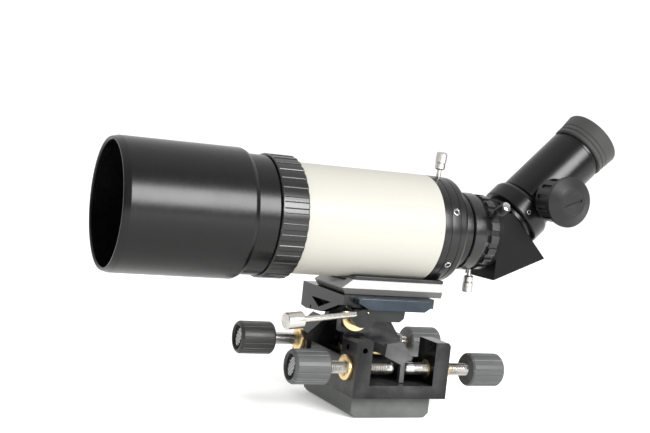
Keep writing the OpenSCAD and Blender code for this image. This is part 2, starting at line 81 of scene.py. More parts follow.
# ---------------------------------------------------------------- places
def stand(origin, along, side):
    """A frame at origin whose Z runs along one direction and whose X is nearest to another."""
    z = Vector(along).normalized()
    x = Vector(side)
    x = (x - x.dot(z) * z).normalized()
    axes = Matrix((x, z.cross(x), z)).transposed().to_4x4()
    return Matrix.Translation(origin) @ axes


tube_low, tube_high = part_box("main_tube")
AXIS_Z = (tube_low.z + tube_high.z) / 2
RIM = Vector((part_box("dew_shield")[0].x, 0, AXIS_Z))
TUBE = stand(RIM, (1, 0, 0), (0, 0, -1))

COLLAR_START = 20
CELL_STATION = 218.7
CELL_ANGLE = 83.6
CLAMP_STATION = 253.6
COLLAR_SCREW_T = 20.57
COLLAR_SCREW_ANGLE = -101.7
eye_way = Vector(JOINTS["locking_collar_turn"]["axis"]).normalized()
eye_cross = Vector(JOINTS["locking_collar_turn"]["pos_m"]) - eye_way * COLLAR_START * MM
EYE = stand(eye_cross, eye_way, (1, 0, -1))


def tube_span(node):
    """Where a node starts and ends along the tube from the rim, and its outer radius."""
    low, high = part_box(node)
    return (low.x - RIM.x) / MM, (high.x - RIM.x) / MM, (high.y - low.y) / 2 / MM


def radial(s, angle, out=0):
    """A frame on the tube axis at s, whose Z points outward at an angle above the near side."""
    a = math.radians(angle)
    way = Vector((0, -math.cos(a), math.sin(a)))
    return stand(RIM + Vector((s * MM, 0, 0)) + way * out * MM, way, (1, 0, 0))


# ---------------------------------------------------------------- materials
class Nodes:
    """A small helper for wiring a procedural material."""

    def __init__(self, name):
        self.material = bpy.data.materials.new(name)
        self.material.use_nodes = True
        self.tree = self.material.node_tree
        self.shader = self.tree.nodes["Principled BSDF"]

    def add(self, kind, **settings):
        node = self.tree.nodes.new(kind)
        for key, value in settings.items():
            setattr(node, key, value)
        return node

    def link(self, one, two):
        self.tree.links.new(one, two)

    def math(self, operation, one, two=None):
        node = self.add("ShaderNodeMath", operation=operation)
        for socket, value in zip(node.inputs, (one, two)):
            if value is None:
                continue
            if isinstance(value, (int, float)):
                socket.default_value = value
            else:
                self.link(value, socket)
        return node.outputs[0]

    def place(self, stretch=(1, 1, 1), turned=False):
        """Object coordinates, or for a turned part radius and length, so that the grain runs round it."""
        where = self.add("ShaderNodeTexCoord").outputs["Object"]
        if turned:
            split = self.add("ShaderNodeSeparateXYZ")
            self.link(where, split.inputs[0])
            square = self.math("ADD", self.math("POWER", split.outputs[0], 2),
                               self.math("POWER", split.outputs[1], 2))
            join = self.add("ShaderNodeCombineXYZ")
            self.link(self.math("SQRT", square), join.inputs[0])
            self.link(split.outputs[2], join.inputs[2])
            where = join.outputs[0]
        mapping = self.add("ShaderNodeMapping")
        mapping.inputs["Scale"].default_value = stretch
        self.link(where, mapping.inputs["Vector"])
        return mapping.outputs[0]

    def noise(self, where, scale, detail=4, rough=0.6):
        node = self.add("ShaderNodeTexNoise")
        node.inputs["Scale"].default_value = scale
        node.inputs["Detail"].default_value = detail
        node.inputs["Roughness"].default_value = rough
        self.link(where, node.inputs["Vector"])
        return node.outputs["Fac"]

    def ramp(self, value, stops):
        node = self.add("ShaderNodeValToRGB")
        elements = node.color_ramp.elements
        while len(elements) < len(stops):
            elements.new(0.5)
        for element, (at, colour) in zip(elements, stops):
            element.position = at
            element.color = (*colour, 1)
        self.link(value, node.inputs[0])
        return node.outputs[0]

    def spread(self, value, low, high):
        node = self.add("ShaderNodeMapRange")
        node.inputs["From Min"].default_value = 0.3
        node.inputs["From Max"].default_value = 0.7
        node.inputs["To Min"].default_value = low
        node.inputs["To Max"].default_value = high
        self.link(value, node.inputs["Value"])
        return node.outputs[0]

    def bump(self, height, strength, depth, under=None):
        node = self.add("ShaderNodeBump")
        node.inputs["Strength"].default_value = strength
        node.inputs["Distance"].default_value = depth * MM
        self.link(height, node.inputs["Height"])
        if under is not None:
            self.link(under, node.inputs["Normal"])
        return node.outputs[0]


def shade(colour, factor):
    return tuple(min(1.0, c * factor) for c in colour)


def finish(name, colour, roughness, metallic=0.0, grain=0.12, grain_depth=0.02, grain_strength=0.3,
           turned=False, stretch=(1, 1, 1), lines=0.0, vary=0.18, rough_vary=0.06, smudge=0.05, wear_and_edge_sheen=0.0,
           under=1.0, **sockets):
    """A hard finish: fine grain of a size in mm, slow blotches in colour and gloss, tool lines, and lighter
    edges that are partly rubbed through and partly a painted edge highlight; under is how much of the
    colour is left on faces that lean downward, a painted shade on their underside."""
    m = Nodes(name)
    grain_noise = m.noise(m.place(stretch, turned), 1 / (grain * MM), 3)
    slow = m.noise(m.place(), 1 / (14 * MM), 5, 0.62)
    mixed = m.math("ADD", m.math("MULTIPLY", grain_noise, 0.6), m.math("MULTIPLY", slow, 0.4))
    tint = m.ramp(mixed, [(0.35, shade(colour, 1 - vary)), (0.65, shade(colour, 1 + vary))])
    # Pointy edges get a lighter colour: partly rubbed-through metal, partly a painted edge highlight.
    if wear_and_edge_sheen:
        edge = m.spread(m.add("ShaderNodeNewGeometry").outputs["Pointiness"], 0, 1)
        edge.node.inputs["From Min"].default_value = 0.53
        edge.node.inputs["From Max"].default_value = 0.62
        amount = m.math("MULTIPLY", edge, m.spread(slow, 0.2, 1.0))
        worn_and_edge_sheen = m.add("ShaderNodeMix", data_type="RGBA")
        m.link(m.math("MULTIPLY", amount, wear_and_edge_sheen), worn_and_edge_sheen.inputs[0])
        m.link(tint, worn_and_edge_sheen.inputs[6])
        worn_and_edge_sheen.inputs[7].default_value = (*[min(1.0, c * 4 + 0.06) for c in colour], 1)
        tint = worn_and_edge_sheen.outputs[2]
    # Faces that lean downward are darkened towards under: a painted shade on the underside.
    if under < 1:
        split = m.add("ShaderNodeSeparateXYZ")
        m.link(m.add("ShaderNodeNewGeometry").outputs["Normal"], split.inputs[0])
        lean = m.spread(split.outputs[2], under, 1.0)
        lean.node.inputs["From Min"].default_value = -0.12
        lean.node.inputs["From Max"].default_value = 0.02
        underside_painted_shade = m.add("ShaderNodeVectorMath", operation="SCALE")
        m.link(tint, underside_painted_shade.inputs[0])
        m.link(lean, underside_painted_shade.inputs["Scale"])
        tint = underside_painted_shade.outputs[0]
    m.link(tint, m.shader.inputs["Base Color"])
    gloss = m.math("ADD", m.spread(grain_noise, roughness - rough_vary, roughness + rough_vary),
                   m.spread(slow, -smudge, smudge))
    m.link(gloss, m.shader.inputs["Roughness"])
    normal = m.bump(grain_noise, grain_strength, grain_depth)
    if lines:
        tooling = m.noise(m.place((1, 0.02, 1), turned), 1 / (lines * MM), 2)
        normal = m.bump(tooling, 0.25, lines * 0.12, normal)
    m.link(normal, m.shader.inputs["Normal"])
    m.shader.inputs["Metallic"].default_value = metallic
    for key, value in sockets.items():
        m.shader.inputs[key.replace("_", " ")].default_value = value
    return m.material


def rubber():
    """Matt rubber with fine lighter specks."""
    m = Nodes("speckled_rubber")
    where = m.place()
    fine = m.noise(where, 1 / (0.35 * MM), 4, 0.7)
    cells = m.add("ShaderNodeTexVoronoi", feature="F1")
    cells.inputs["Scale"].default_value = 1 / (0.9 * MM)
    m.link(where, cells.inputs["Vector"])
    speck = m.ramp(cells.outputs["Distance"], [(0.05, (1, 1, 1)), (0.2, (0, 0, 0))])
    base = m.ramp(fine, [(0.3, (0.016, 0.016, 0.016)), (0.7, (0.034, 0.034, 0.033))])
    mix = m.add("ShaderNodeMix", data_type="RGBA")
    m.link(m.math("MULTIPLY", speck, 0.35), mix.inputs[0])
    m.link(base, mix.inputs[6])
    mix.inputs[7].default_value = (0.11, 0.11, 0.105, 1)
    m.link(mix.outputs[2], m.shader.inputs["Base Color"])
    m.link(m.spread(fine, 0.62, 0.8), m.shader.inputs["Roughness"])
    m.link(m.bump(fine, 0.5, 0.08, m.bump(cells.outputs["Distance"], 0.3, 0.05)), m.shader.inputs["Normal"])
    m.shader.inputs["Sheen Weight"].default_value = 0.12
    m.shader.inputs["Specular IOR Level"].default_value = 0.3
    return m.material


def glass(name, colour, roughness=0.02):
    """Coated optical glass, with the faintest waviness in its polish."""
    m = Nodes(name)
    wave = m.noise(m.place(), 1 / (9 * MM), 2)
    m.link(m.ramp(wave, [(0.3, shade(colour, 0.95)), (0.7, colour)]), m.shader.inputs["Base Color"])
    m.link(m.spread(wave, roughness, roughness + 0.02), m.shader.inputs["Roughness"])
    m.link(m.bump(wave, 0.05, 0.02), m.shader.inputs["Normal"])
    m.shader.inputs["Transmission Weight"].default_value = 1.0
    m.shader.inputs["IOR"].default_value = 1.52
    m.shader.inputs["Coat Weight"].default_value = 0.3
    return m.material


# Where a finish below asks for lighter edges, they are partly rubbed-through metal and partly a painted edge
# highlight.
BLACK = finish("black_satin", (0.003, 0.003, 0.003), 0.27, grain=0.10, grain_strength=0.25, smudge=0.02,
               rough_vary=0.03, Specular_IOR_Level=0.27)
BLACK_TURNED = finish("black_turned", (0.005, 0.005, 0.005), 0.28, grain=0.12, turned=True, lines=0.22,
                      smudge=0.02, Specular_IOR_Level=0.36)
BLACK_RIB = finish("black_ribbed", (0.006, 0.006, 0.006), 0.25, grain=0.12, wear_and_edge_sheen=0.9, smudge=0.02,
                   Specular_IOR_Level=0.45)
MATT = finish("matt_black", (0.006, 0.006, 0.0062), 0.50, grain=0.22, grain_depth=0.04, grain_strength=0.4,
              Specular_IOR_Level=0.09)
# Near-black matt discs set into sockets and recesses: a painted shade.
RECESS_PAINTED_SHADE = finish("recess_painted_shade", (0.004, 0.004, 0.004), 0.7, grain=0.2, Specular_IOR_Level=0.1)
PLASTIC = finish("black_plastic", (0.010, 0.010, 0.0105), 0.42, grain=0.16, grain_depth=0.03, wear_and_edge_sheen=0.3,
                 Specular_IOR_Level=0.25)
IVORY = finish("ivory_paint", (0.362, 0.355, 0.318), 0.42, grain=0.7, grain_depth=0.012, grain_strength=0.18,
               vary=0.010, rough_vary=0.03, Specular_IOR_Level=0.16)
RUBBER = rubber()
LENS = glass("coated_glass", (0.80, 0.95, 0.90))
LAMP_RED = glass("red_lens", (0.75, 0.05, 0.04), 0.1)
STEEL = finish("turned_steel", (0.50, 0.485, 0.46), 0.27, 1.0, grain=0.10, turned=True, lines=0.2, vary=0.05,
               smudge=0.02)
CHROME = finish("polished_plating", (0.60, 0.60, 0.60), 0.16, 1.0, grain=0.3, vary=0.05, rough_vary=0.03)
KNURL = finish("knurled_plating", (0.50, 0.49, 0.47), 0.30, 1.0, grain=0.15, vary=0.10)
KNURL_DARK = finish("knurled_black", (0.012, 0.012, 0.012), 0.3, grain=0.15, wear_and_edge_sheen=0.8, Specular_IOR_Level=0.4)
BRASS = finish("turned_brass", (0.80, 0.60, 0.31), 0.30, 1.0, grain=0.10, turned=True, lines=0.28, vary=0.10)
GREY = finish("grey_anodised", (0.007, 0.0074, 0.0082), 0.22, grain=0.13, wear_and_edge_sheen=0.5, smudge=0.02,
              Specular_IOR_Level=0.25)
TONGUE = finish("tongue_grey", (0.035, 0.035, 0.036), 0.35, grain=0.13, wear_and_edge_sheen=0.4, Specular_IOR_Level=0.3)
GREY_DARK = finish("dark_anodised", (0.006, 0.006, 0.007), 0.27, grain=0.13, wear_and_edge_sheen=0.4, Specular_IOR_Level=0.25)
FRONT_BLACK = finish("front_anodised", (0.002, 0.0021, 0.0023), 0.20, grain=0.13, wear_and_edge_sheen=0.6, smudge=0.01,
                     rough_vary=0.02, Specular_IOR_Level=0.2)
KNOB_LIGHT = finish("knob_grey", (0.060, 0.0625, 0.0625), 0.42, grain=0.2, wear_and_edge_sheen=0.5, Specular_IOR_Level=0.35)
# A darker copy of the knob grey for the rear left knob: a painted shade.
KNOB_SHADED_COPY = finish("knob_grey_painted_shade", (0.022, 0.022, 0.021), 0.40, grain=0.2, wear_and_edge_sheen=0.5, Specular_IOR_Level=0.35)
BLUE = finish("blue_grey", (0.007, 0.014, 0.022), 0.24, grain=0.12, wear_and_edge_sheen=0.6, smudge=0.02,
              Specular_IOR_Level=0.25)
# Bright aluminium whose downward-leaning faces keep only 0.3 of the colour: a painted shade on the underside.
BRIGHT = finish("bright_aluminium", (0.30, 0.30, 0.295), 0.42, 0.15, grain=0.09, stretch=(0.04, 1, 1),
                vary=0.05, under=0.30, Specular_IOR_Level=0.3)
# Pale matt colour for the knob caps' strokes: a painted highlight in place of their shine.
STROKE_PAINTED_HIGHLIGHT = finish("stroke_painted_highlight", (0.75, 0.75, 0.73), 0.5, grain=0.2, vary=0.08)
FOOT = finish("foot_grey", (0.068, 0.073, 0.067), 0.50, grain=0.14, wear_and_edge_sheen=0.25, Specular_IOR_Level=0.25)


# ---------------------------------------------------------------- shapes
def soften(points, steps=5):
    """Turns each corner that carries a third number into an arc of that radius."""
    done = []
    for i, point in enumerate(points):
        here = Vector(point[:2])
        if len(point) < 3:
            done.append(here)
            continue
        before = Vector(points[i - 1][:2]) - here
        after = Vector(points[(i + 1) % len(points)][:2]) - here
        half = before.angle(after) / 2
        reach = min(point[2] / math.tan(half), 0.49 * before.length, 0.49 * after.length)
        middle = (before.normalized() + after.normalized()).normalized()
        centre = here + middle * reach / math.cos(half)
        first = here + before.normalized() * reach - centre
        turn = first.angle_signed(here + after.normalized() * reach - centre)
        for k in range(steps + 1):
            arm = first.copy()
            arm.rotate(Matrix.Rotation(-turn * k / steps, 2))
            done.append(centre + arm)
    return done


def piece(name, bm, place, body, material, stands_for=()):
    """Makes the object, sets its shading and its place, and says what it rides on and stands for."""
    bmesh.ops.recalc_face_normals(bm, faces=bm.faces)
    mesh = bpy.data.meshes.new(name)
    bm.to_mesh(mesh)
    bm.free()
    mesh.polygons.foreach_set("use_smooth", [True] * len(mesh.polygons))
    mesh.set_sharp_from_angle(angle=math.radians(38))
    mesh.materials.append(material)
    made = bpy.data.objects.new(name, mesh)
    bpy.context.scene.collection.objects.link(made)
    made.matrix_world = place
    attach(made, body)
    if stands_for:
        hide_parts(*stands_for)
    return made


def lathe(bm, profile, segments=144, reach=None):
    """Adds a closed profile of (radius, along) revolved about Z; reach(radius, along, angle) may shape it."""
    rings = []
    for radius, along in soften(profile):
        count = 1 if radius < 1e-6 else segments
        ring = []
        for k in range(count):
            angle = 2 * math.pi * k / segments
            r = reach(radius, along, angle) if reach else radius
            ring.append(bm.verts.new(Vector((r * math.cos(angle), r * math.sin(angle), along)) * MM))
        rings.append(ring)
    for one, two in zip(rings, rings[1:] + rings[:1]):
        if len(one) == 1 and len(two) == 1:
            continue
        for k in range(segments):
            n = (k + 1) % segments
            if len(one) == 1:
                bm.faces.new((one[0], two[k], two[n]))
            elif len(two) == 1:
                bm.faces.new((one[k], two[0], one[n]))
            else:
                bm.faces.new((one[k], two[k], two[n], one[n]))
    return bm


def turned(name, profile, place, body, material, slot, stands_for=(), segments=144, reach=None):
    return piece(name, lathe(bmesh.new(), profile, segments, reach), place, body, material, stands_for)


def machined(node, material, width=0.35, segments=2):
    """Gives a CAD node its material and a small machined edge."""
    shown = frame["nodes"][node]
    shown.data.materials.clear()
    shown.data.materials.append(material)
    if not width:
        return shown
    weld = shown.modifiers.new("weld", "WELD")
    weld.merge_threshold = 0.002 * MM
    flat = shown.modifiers.new("flats", "DECIMATE")
    flat.decimate_type = "DISSOLVE"
    flat.angle_limit = math.radians(0.6)
    bevel = shown.modifiers.new("edges", "BEVEL")
    bevel.width = width * MM
    bevel.segments = segments
    bevel.limit_method = "ANGLE"
    bevel.angle_limit = math.radians(34)
    bevel.harden_normals = True
    even = shown.modifiers.new("shading", "WEIGHTED_NORMAL")
    even.keep_sharp = True
    return shown


def notch(count, width, depth, start, end, offset=0.0):
    """A reach function that cuts flat-bottomed grooves of a width in mm between two places along the axis."""
    def cut(radius, along, angle):
        if not start <= along <= end:
            return radius
        pitch = 2 * math.pi / count
        away = abs((angle - offset + pitch / 2) % pitch - pitch / 2) * radius
        edge = min(1.0, max(0.0, (width / 2 - away) / 0.12 + 0.5))
        return radius - depth * edge
    return cut


# ---------------------------------------------------------------- objective end
def make_dew_shield():
    start, end, outer = tube_span("dew_shield")
    neck = tube_span("objective_cell")[2] + 0.05
    turned("dew_shield_tube", [
        (37.4, 0.9), (38.2, 0.0, 0.3), (outer - 1.3, 0.0, 0.4), (outer - 0.9, 0.7, 0.5), (outer, 4.2, 3.0),
        (outer, end - 3.2, 2.5), (outer - 1.0, end - 0.9, 0.8), (outer - 2.6, end, 0.6), (neck, end),
        (neck, end - 26), (37.9, end - 26.5), (37.9, 3.4), (37.4, 3.0)],
        TUBE, "objective", BLACK, "black_anodised", ["dew_shield"], 240)


FOCUS_RIBS = 36


def make_focus_ring():
    start, end, outer = tube_span("focus_ring")
    grooves = notch(FOCUS_RIBS, 3.1, 0.45, start + 1.0, end + 1)
    turned("focus_ring_ribbed", [
        (35.62, start), (outer - 0.5, start, 0.2), (outer, start + 0.5, 0.2), (outer, start + 0.98),
        (outer, start + 1.06),
        (outer, (start + end) / 2), (outer, end - 0.7, 0.3), (outer - 0.5, end, 0.2), (35.62, end)],
        TUBE, "focus_ring", BLACK_RIB, "black_ribbed", ["focus_ring"], FOCUS_RIBS * 22, grooves)


# ---------------------------------------------------------------- rear end
def make_rear_cell():
    start, end, outer = tube_span("rear_cell")
    lip = tube_span("main_tube")[1]
    joint = 0.35
    turned("rear_cell_turned", [
        (22, lip + 12.6), (30.5, lip + 12.6), (30.5, lip + 0.02), (outer - 0.25, lip + 0.02),
        (outer, lip + 0.3, 0.1), (outer, lip + 4.8, 0.15), (outer - joint, lip + 5.1),
        (outer - joint, lip + 5.4), (outer - 0.05, lip + 5.6, 0.1), (outer - 0.1, lip + 11.4, 0.15),
        (outer - 0.6, lip + 11.7), (outer - 0.6, lip + 12.0), (outer - 0.25, lip + 12.3),
        (outer - 0.35, lip + 16.0, 0.4), (outer - 1.2, end, 0.4), (22, end)],
        TUBE, "scope", BLACK_TURNED, "black_anodised", ["rear_cell"], 200)


def make_rear_collars():
    start, end, outer = tube_span("rear_collar")
    turned("rear_collar_turned", [
        (18.5, 223), (21.9, 223), (21.9, 227.6), (outer - 0.6, 227.6), (outer, 228.2, 0.3), (outer, 231.9, 0.1),
        (outer - 0.3, 232.15), (outer, 232.4, 0.1), (outer, 237.3, 0.2), (outer - 0.6, 237.9, 0.1), (22, 237.9),
        (22, end), (18.5, end)],
        TUBE, "scope", BLACK_TURNED, "black_anodised", ["rear_collar"], 160)


# ---------------------------------------------------------------- eyepiece
def make_locking_collar():
    turned("locking_collar_turned", [
        (17.68, 16.0), (21.6, 16.0, 0.3), (22.4, 16.8, 0.5), (22.4, 26.6, 0.8), (21.4, 28.8, 0.8),
        (19.9, 29.8, 0.3),
        (17.68, 29.8)],
        EYE, "locking_collar", BLACK, "black_anodised", ["locking_collar"], 160)


def make_eyepiece_body():
    turned("eyepiece_body_turned", [
        (15.87, 30.3), (18.85, 30.3, 0.3), (19.65, 31.2, 0.4), (19.65, 83.2, 0.4), (19.05, 84.0, 0.2),
        (18.05, 84.0),
        (18.05, 96.0), (13.0, 96.0), (13.0, 60.0), (14.55, 58.0), (14.55, 32.1), (15.87, 32.1)],
        EYE, "eyepiece", BLACK, "black_anodised", ["eyepiece_body"], 160)


def make_eyecup():
    turned("eyecup_rubber", [
        (18.1, 86.6), (19.55, 86.6, 0.3), (20.15, 87.3, 0.4), (20.15, 89.4, 0.4), (19.5, 90.0),
        (20.15, 90.7, 0.4), (20.2, 92.4, 0.4), (19.75, 93.2), (20.3, 94.0, 0.5), (20.6, 98.0),
        (20.95, 102.2, 0.8), (20.4, 103.1, 0.4),
        (19.6, 102.8, 0.4), (18.8, 100.5), (17.0, 97.6, 1.0), (13.4, 97.2, 0.3), (13.4, 96.1), (18.1, 96.1)],
        EYE, "eyepiece", RUBBER, "rubber", ["eyecup"], 128)


def disc(name, place, body, material, slot, radius, height, hollow=0.0, segments=48, depth=0.5):
    """A small screw head: a softened disc with a round recess."""
    inner = [(hollow, height, 0.08), (hollow, height - depth), (0, height - depth)] if hollow else [(0, height)]
    return turned(name, [(0, -1.2), (radius, -1.2), (radius, height, 0.18)] + inner, place, body, material,
                  slot, segments=segments)


def make_cell_screws():
    """Bright-rimmed screws in the rear cell, and the small one on the eyepiece's collar."""
    outer = tube_span("rear_cell")[2]
    for k in range(1, 6):
        place = radial(CELL_STATION, CELL_ANGLE - 60 * k, outer)
        disc(f"rear_cell_screw_{k}", place, "scope", CHROME, "chrome", 2.25, 0.12, 1.35)
        # A near-black disc fills the screw's socket: painted shade in the hole.
        disc(f"rear_cell_screw_socket_{k}", place, "scope", RECESS_PAINTED_SHADE, "matt_black", 1.3, -0.25, segments=24)
    a = math.radians(COLLAR_SCREW_ANGLE)
    way = EYE.to_3x3() @ Vector((math.cos(a), math.sin(a), 0))
    at = EYE @ Vector((0, 0, COLLAR_SCREW_T * MM)) + way * 22.35 * MM
    place = stand(at, way, eye_way)
    disc("collar_small_screw", place, "locking_collar", CHROME, "chrome", 1.5, 0.12, 0.9, 32)
    # A near-black disc fills this screw's socket too: painted shade.
    disc("collar_small_screw_socket", place, "locking_collar", RECESS_PAINTED_SHADE, "matt_black", 0.85, -0.2, segments=24)


THUMB_SKIRT, THUMB_HEAD = 4.6, 11.5


def make_thumb_screw(node, place, body, stem, dark=False):
    """A small screw with a plain skirt and a knurled head, which ends a bare stem of the length given."""
    head, knurl, end = stem, stem + THUMB_SKIRT, stem + THUMB_HEAD
    rings = 22
    profile = [(0, 0), (1.5, 0, 0.1), (1.5, head), (2.6, head, 0.2), (3.4, head + 0.8, 0.3),
               (3.4, head + 4.0, 0.15), (3.1, head + 4.4), (3.6, knurl + 0.3)]
    profile += [(3.6, knurl + 0.5 + (end - 1.3 - knurl) * k / rings) for k in range(rings + 1)]
    profile += [(2.8, end, 0.2), (2.4, end - 0.25, 0.1), (0, end - 0.25)]

    def knurled(radius, along, angle):
        if radius < 3.55 or along < knurl + 0.4:
            return radius
        twist = along * 2.1
        return radius - 0.26 * abs(math.sin(11 * angle + twist)) * abs(math.sin(11 * angle - twist))
    turned(node + "_knurled", profile, place, body, KNURL_DARK if dark else KNURL, "bright_steel", [node],
           132, knurled)
    if dark:
        turned(node + "_end", [(0, end - 0.6), (2.9, end - 0.6), (2.9, end + 0.05, 0.2), (1.8, end + 0.35, 1.0),
                               (0, end + 0.4)], place, body, CHROME, "chrome", segments=48)


CELL_SCREW_RADIUS, CLAMP_SCREW_RADIUS = 30.8, 20.3


def make_thumb_screws():
    make_thumb_screw("cell_thumb_screw", radial(CELL_STATION, CELL_ANGLE, CELL_SCREW_RADIUS), "cell_thumb", 9.1)
    for node, body, angle in (("clamp_screw_side", "side_thumb", 30), ("clamp_screw_low", "low_thumb", -90),
                              ("clamp_screw_far", "far_thumb", 150)):
        make_thumb_screw(node, radial(CLAMP_STATION, angle, CLAMP_SCREW_RADIUS), body, 9.4,
                         node == "clamp_screw_side")


# ---------------------------------------------------------------- mount
SCREWS = (("front_left", -1), ("front_right", 1), ("rear_left", -1), ("rear_right", 1))
SCREW_RUN = 47
THREAD_PITCH = 1.25
THREAD_DEPTH = 0.55
KNOB_FLUTES = 18
STROKE_TILT = math.radians(62)
STROKE_PITCH = 1.45


def screw_frame(side, way):
    """The frame at a screw's tip, whose Z runs outward to its knob."""
    low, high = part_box(f"{side}_screw")
    tip = low.x if way > 0 else high.x
    return stand((tip, (low.y + high.y) / 2, (low.z + high.z) / 2), (way, 0, 0), (0, 0, -way))


def make_screw(side, way, threaded):
    outer = (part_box(f"{side}_screw")[1].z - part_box(f"{side}_screw")[0].z) / 2 / MM
    end = SCREW_RUN + 9
    profile = [(0, 0), (2.0, 0.25, 0.5), (3.3, 1.2, 0.8), (3.8, 2.6, 0.5), (3.8, 6.0), (outer, 6.4)]
    first = 6.6
    if threaded:
        steps = int((SCREW_RUN + 1 - first) / THREAD_PITCH * 6)
        profile += [(outer, first + k * THREAD_PITCH / 6) for k in range(steps)]
    profile += [(outer, SCREW_RUN + 2), (outer, end), (0, end)]

    def thread(radius, along, angle):
        if not threaded or radius < outer - 0.01 or along < first or along > SCREW_RUN + 1:
            return radius
        turn = (along / THREAD_PITCH - angle / (2 * math.pi)) % 1
        return radius - THREAD_DEPTH * min(1.0, abs(2 * turn - 1) * 1.25)
    turned(f"{side}_screw_thread", profile, screw_frame(side, way), f"{side}_screw", STEEL, "bright_steel",
           [f"{side}_screw"], 48, thread)


def make_knob(side, way, material):
    place = screw_frame(side, way)
    low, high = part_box(f"{side}_knob")
    outer, length = (high.z - low.z) / 2 / MM, (high.x - low.x) / MM
    start, end = SCREW_RUN, SCREW_RUN + length
    flutes = notch(KNOB_FLUTES, 0.75, 0.32, start + 1.5, end - 0.6)

    def fluted(radius, along, angle):
        return flutes(radius, along, angle) if radius > outer - 1.6 else radius
    turned(f"{side}_knob_fluted", [
        (4.02, start), (outer - 0.9, start, 0.2), (outer, start + 1.2, 0.4), (outer, start + 2),
        (outer, start + length / 2), (outer, end - 1.8, 1.4), (outer - 1.2, end - 0.2, 0.8),
        (8.3, end, 0.3), (7.8, end - 1.6, 0.3), (0, end - 1.6),
        (0, start + 9.2), (4.02, start + 9.2)],
        place, f"{side}_knob", material, "grey_anodised", [f"{side}_knob"], KNOB_FLUTES * 22, fluted)
    # A near-black disc on the floor of the knob's end recess: painted shade.
    turned(f"{side}_knob_cap", [(0, end - 1.7), (7.7, end - 1.7), (7.7, end - 1.5, 0.1), (0, end - 1.5)], place,
           f"{side}_knob", RECESS_PAINTED_SHADE, "matt_black", segments=64)
    # the cap of the knob: short diagonal strokes of a plain pattern, whose pale matt colour is a painted
    # highlight
    bm = bmesh.new()
    for k in range(-4, 5):
        offset = k * STROKE_PITCH
        half = 0.62 * math.sqrt(max(0.0, 6.6 ** 2 - offset ** 2)) * (1.0 if k % 2 else 0.8)
        along = Vector((math.cos(STROKE_TILT), math.sin(STROKE_TILT), 0))
        across = Vector((-math.sin(STROKE_TILT), math.cos(STROKE_TILT), 0))
        centre = across * offset + Vector((0, 0, end - 1.46))
        made = bmesh.ops.create_cube(bm, size=1.0)["verts"]
        for v in made:
            x, y, z = v.co
            v.co = (centre + along * x * 2 * half + across * y * 0.6 + Vector((0, 0, z * 0.16))) * MM
    bmesh.ops.bevel(bm, geom=list(bm.edges), offset=0.05 * MM, segments=2, affect="EDGES")
    piece(f"{side}_knob_strokes", bm, place, f"{side}_knob", STROKE_PAINTED_HIGHLIGHT)


def make_bushes(node, body, y, z, places):
    """Brass bushes with a chamfered flange, a bright inner bevel and a fine turned face."""
    for name, way, start, length in places:
        place = stand((way * start * MM, y * MM, z * MM), (way, 0, 0), (0, 0, -way))
        turned(name, [
            (4.06, 0), (5.97, 0), (5.97, length - 0.1), (8.0, length, 0.15), (8.0, length + 2.1, 0.25),
            (7.5, length + 2.7, 0.2), (5.6, length + 2.8, 0.15), (4.7, length + 2.3, 0.2),
            (4.06, length + 1.9)], place, body, BRASS, "brass", segments=96)
    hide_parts(node)


LEVER_Y, LEVER_RISE = -37.2, 2.9
LEVER_SWING, LEVER_DROP = math.radians(9), math.radians(5)


def make_lock():
    """The locking lever: a polished rod with a turned head, whose face carries fine rings."""
    x, y, z = JOINTS["lock_lever_swing"]["pos_m"]
    swing, drop = LEVER_SWING, LEVER_DROP
    way = Vector((-math.cos(drop) * math.cos(swing), -math.cos(drop) * math.sin(swing), -math.sin(drop)))
    place = stand((x, LEVER_Y * MM, z + LEVER_RISE * MM), way, (0, 0, 1))
    turned("lock_lever_turned", [
        (0, -1.9), (1.95, -1.9, 0.3), (1.95, 43.0), (4.6, 43.0, 0.2), (5.1, 43.5, 0.2), (5.1, 54.0, 0.2),
        (4.7, 54.5, 0.1), (3.4, 54.5), (3.3, 54.38), (3.2, 54.5), (1.8, 54.5), (1.7, 54.38), (1.6, 54.5),
        (0, 54.5)], place, "lock", STEEL, "bright_steel", ["lock_lever"], 96)
    machined("lock_hub", GREY_DARK, 0.4)


# ---------------------------------------------------------------- put together
make_dew_shield()
make_focus_ring()
make_rear_cell()
make_rear_collars()
make_locking_collar()
make_eyepiece_body()
make_eyecup()
make_cell_screws()
make_thumb_screws()
# The rear left knob takes the darker copy of the knob grey, a painted shade.
for side, way in SCREWS:
    make_screw(side, way, side != "rear_left")
    make_knob(side, way, KNOB_SHADED_COPY if side == "rear_left" else KNOB_LIGHT)
screw_low, screw_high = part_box("front_left_screw")
FRONT_Y, FRONT_Z = (screw_low.y + screw_high.y) / 2 / MM, (screw_low.z + screw_high.z) / 2 / MM
screw_low, screw_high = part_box("rear_left_screw")
REAR_Y, REAR_Z = (screw_low.y + screw_high.y) / 2 / MM, (screw_low.z + screw_high.z) / 2 / MM
make_bushes("front_bushes", "base", FRONT_Y, FRONT_Z,
            [("front_left_bush", -1, 22.4, 10.7), ("front_right_bush", 1, 22.4, 10.7)])
make_bushes("rear_bushes", "yoke", REAR_Y, REAR_Z,
            [("rear_left_bush", -1, 22.2, 12.4), ("rear_right_bush", 1, 22.2, 10.9)])
make_lock()

